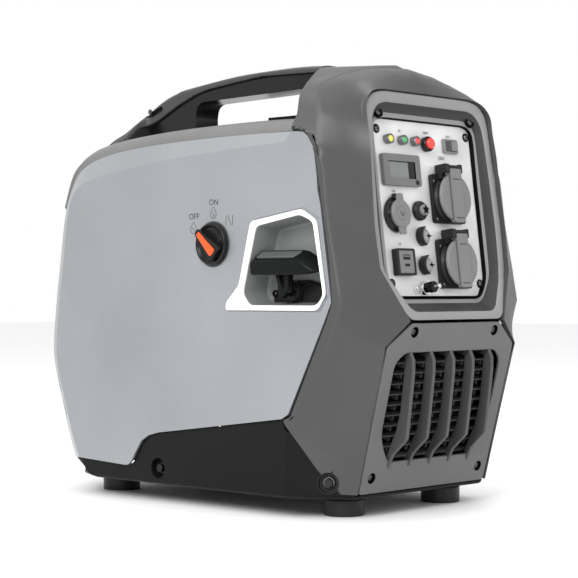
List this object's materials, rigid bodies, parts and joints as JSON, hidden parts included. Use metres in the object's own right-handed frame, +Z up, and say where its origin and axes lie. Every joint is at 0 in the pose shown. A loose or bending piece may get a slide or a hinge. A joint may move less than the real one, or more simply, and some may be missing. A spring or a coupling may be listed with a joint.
{
  "type": "portable generator",
  "caption": "Portable inverter generator in a moulded casing with carrying handle, control panel, recoil starter, intake grille and engine inside.",
  "frame": {"origin": "middle of the bounding box's footprint, on the floor under the feet", "axes": "+Z up, -Y out of the control panel, -X towards the recoil starter's side"},
  "size_m": [0.3024, 0.502, 0.4605],
  "materials": {
    "silver_paint": "satin metallic",
    "dark_plastic": "fine texture",
    "black_plastic": "fine texture",
    "grey_plastic": "fine texture",
    "bezel_grey": "satin",
    "panel_plate": "printed weave",
    "white_trim": "satin white",
    "rubber": "matte",
    "red_lens": "clear gloss",
    "green_lens": "clear gloss",
    "amber_lens": "clear gloss",
    "steel": "zinc plated",
    "aluminium": "cast",
    "cast_iron": "machined",
    "copper": "enamelled winding",
    "rope": "braided"
  },
  "bodies": {
    "root": {"air_filter_box": "black_plastic", "alternator_stator": "copper", "base_tray": "black_plastic", "breaker_sleeve": "black_plastic", "carburettor": "aluminium", "control_panel_plate": "panel_plate", "dc_socket_base": "black_plastic", "display_meter": "grey_plastic", "earth_stud": "steel", "eco_switch_frame": "grey_plastic", "engine_block": "aluminium", "exhaust_outlet": "steel", "foot_front_left": "rubber", "foot_front_right": "rubber", "foot_rear_left": "rubber", "foot_rear_right": "rubber", "front_cowl": "dark_plastic", "fuel_tank": "black_plastic", "handle_lower_shell": "black_plastic", "handle_upper_shell": "grey_plastic", "intake_grille": "bezel_grey", "intake_mesh": "black_plastic", "inverter_module": "aluminium", "lamp_amber": "amber_lens", "lamp_green": "green_lens", "lamp_red": "red_lens", "left_side_shell": "silver_paint", "muffler": "steel", "panel_bezel": "bezel_grey", "parallel_jack_lower": "black_plastic", "parallel_jack_upper": "black_plastic", "rear_cover": "dark_plastic", "recoil_housing": "dark_plastic", "recoil_pocket": "dark_plastic", "recoil_trim": "white_trim", "reset_button_ring": "black_plastic", "right_side_shell": "silver_paint", "rope_guide": "black_plastic", "socket_base_lower": "black_plastic", "socket_base_upper": "black_plastic", "top_cover": "grey_plastic", "usb_module": "black_plastic"},
    "engine_switch": {"engine_switch_knob": "black_plastic"},
    "recoil_grip": {"recoil_handle": "black_plastic", "starter_rope": "rope"},
    "pulley": {"recoil_pulley": "black_plastic"},
    "crank": {"crankshaft": "steel", "flywheel_rotor": "cast_iron"},
    "lid_upper": {"socket_lid_upper": "grey_plastic"},
    "lid_lower": {"socket_lid_lower": "grey_plastic"},
    "dc_cap": {"dc_socket_cap": "grey_plastic"},
    "reset_key": {"reset_button": "red_lens"},
    "breaker_key": {"breaker_button": "black_plastic"},
    "eco_key": {"eco_rocker": "black_plastic"},
    "meter_key": {"meter_button": "black_plastic"},
    "earth_nut": {"earth_nut": "steel"},
    "fuel_cap": {"fuel_cap": "black_plastic"},
    "vent_lever": {"fuel_cap_vent_lever": "black_plastic"},
    "service_cover": {"service_cover": "silver_paint"},
    "service_lock": {"service_cover_lock": "black_plastic"}
  },
  "joints": [
    {"name": "engine_switch_turn", "type": "hinge", "parent": "root", "child": "engine_switch", "pos_m": [-0.142, -0.0476, 0.269], "axis": [1, 0, 0], "range_deg": [0, 90]},
    {"name": "recoil_pull", "type": "slide", "parent": "root", "child": "recoil_grip", "axis": [-1, 0, 0], "range_m": [0, 0.5], "stiffness_N_per_m": 20, "springref_m": -0.25, "deforming": ["starter_rope"]},
    {"name": "recoil_pulley_turn", "type": "hinge", "parent": "root", "child": "pulley", "pos_m": [0, -0.135, 0.175], "axis": [0, -1, 0], "range_deg": [0, 640]},
    {"name": "crank_turn", "type": "hinge", "parent": "root", "child": "crank", "pos_m": [0, -0.06, 0.175], "axis": [0, 1, 0], "continuous": true},
    {"name": "lid_upper_hinge", "type": "hinge", "parent": "root", "child": "lid_upper", "pos_m": [0.0275, -0.22192, 0.34651], "axis": [-1, 0, 0], "range_deg": [0, 110], "stiffness_Nm_per_rad": 0.02, "springref_deg": -22.92},
    {"name": "lid_lower_hinge", "type": "hinge", "parent": "root", "child": "lid_lower", "pos_m": [0.0275, -0.23035, 0.28075], "axis": [-1, 0, 0], "range_deg": [0, 110], "stiffness_Nm_per_rad": 0.02, "springref_deg": -22.92},
    {"name": "dc_cap_hinge", "type": "hinge", "parent": "root", "child": "dc_cap", "pos_m": [-0.055, -0.21892, 0.31639], "axis": [-1, 0, 0], "range_deg": [0, 100], "stiffness_Nm_per_rad": 0.01, "springref_deg": -22.92},
    {"name": "reset_press", "type": "slide", "parent": "root", "child": "reset_key", "axis": [0, 0.9919, -0.1272], "range_m": [0, 0.0022], "stiffness_N_per_m": 300, "springref_m": -0.002},
    {"name": "breaker_press", "type": "slide", "parent": "root", "child": "breaker_key", "axis": [0, 0.9919, -0.1272], "range_m": [0, 0.0024], "stiffness_N_per_m": 300, "springref_m": -0.002},
    {"name": "eco_rock", "type": "hinge", "parent": "root", "child": "eco_key", "pos_m": [0.042, -0.20634, 0.36972], "axis": [0, 0.1272, 0.9919], "range_deg": [0, 12]},
    {"name": "meter_press", "type": "slide", "parent": "root", "child": "meter_key", "axis": [0, 0.9919, -0.1272], "range_m": [0, 0.0012], "stiffness_N_per_m": 200, "springref_m": -0.001},
    {"name": "earth_nut_turn", "type": "hinge", "parent": "root", "child": "earth_nut", "pos_m": [-0.023, -0.2329, 0.22553], "axis": [0, -0.9919, 0.1272], "continuous": true},
    {"name": "fuel_cap_turn", "type": "hinge", "parent": "root", "child": "fuel_cap", "pos_m": [0.066, 0.045, 0.4], "axis": [0, 0, 1], "continuous": true},
    {"name": "vent_lever_turn", "type": "hinge", "parent": "fuel_cap", "child": "vent_lever", "pos_m": [0.066, 0.045, 0.415], "axis": [0, 0, 1], "range_deg": [0, 90]},
    {"name": "service_cover_hinge", "type": "hinge", "parent": "root", "child": "service_cover", "pos_m": [0.1438, 0.0978, 0.23], "axis": [0, 0, 1], "range_deg": [0, 105]},
    {"name": "service_lock_turn", "type": "hinge", "parent": "service_cover", "child": "service_lock", "pos_m": [0.1456, -0.086, 0.23], "axis": [1, 0, 0], "range_deg": [0, 90]}
  ],
  "couplings": [
    {"joint": "recoil_pulley_turn", "follows": "recoil_pull", "rad_per_m": 21.978}
  ]
}
